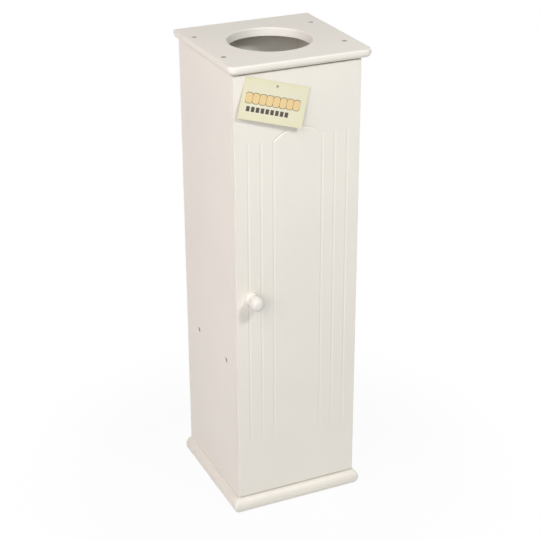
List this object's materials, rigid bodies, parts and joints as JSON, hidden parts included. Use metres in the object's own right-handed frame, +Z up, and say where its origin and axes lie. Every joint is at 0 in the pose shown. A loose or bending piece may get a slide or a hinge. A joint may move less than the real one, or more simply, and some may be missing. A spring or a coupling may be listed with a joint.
{
  "type": "toilet roll storage cabinet",
  "caption": "Tall narrow white bathroom cabinet that takes spare toilet rolls through a round hole in its top and gives them out behind a grooved, hinged door with a round knob.",
  "frame": {"origin": "on the floor, under the middle of the cabinet's body: half the body's width and half the depth of its side panels", "axes": "+X to the right as seen from the door, +Y to the back, +Z up; the door faces -Y"},
  "size_m": [0.2028, 0.2135, 0.664],
  "materials": {
    "painted_board": "smooth satin paint, warm white",
    "dark_screw": "dark, sunk below the surface",
    "plated_steel": "bright zinc plate",
    "catch_plastic": "matt white",
    "gloss_knob": "turned, glossy white paint",
    "tag_card": "plain cream card, without print",
    "tag_foam": "soft white foam"
  },
  "bodies": {
    "cabinet": {"top_board": "painted_board", "base_board": "painted_board", "left_side_panel": "painted_board", "right_side_panel": "painted_board", "back_panel": "painted_board", "shelf": "painted_board", "top_screws": "dark_screw", "base_screws": "dark_screw", "shelf_screws": "dark_screw", "upper_frame_leaf": "plated_steel", "upper_hinge_pin": "plated_steel", "lower_frame_leaf": "plated_steel", "lower_hinge_pin": "plated_steel", "frame_leaf_screws": "plated_steel", "catch_body": "catch_plastic", "catch_poles": "plated_steel", "catch_screws": "plated_steel"},
    "door": {"door": "painted_board", "knob": "gloss_knob", "knob_screw": "plated_steel", "upper_door_leaf": "plated_steel", "lower_door_leaf": "plated_steel", "door_leaf_screws": "plated_steel", "strike_plate": "plated_steel", "strike_screw": "plated_steel", "hang_tag": "tag_card", "tag_pad": "tag_foam"}
  },
  "joints": [
    {"name": "door_swing", "type": "hinge", "parent": "cabinet", "child": "door", "pos_m": [0.0926, -0.0884, 0.3385], "axis": [0, 0, 1], "range_deg": [0, 180]}
  ]
}
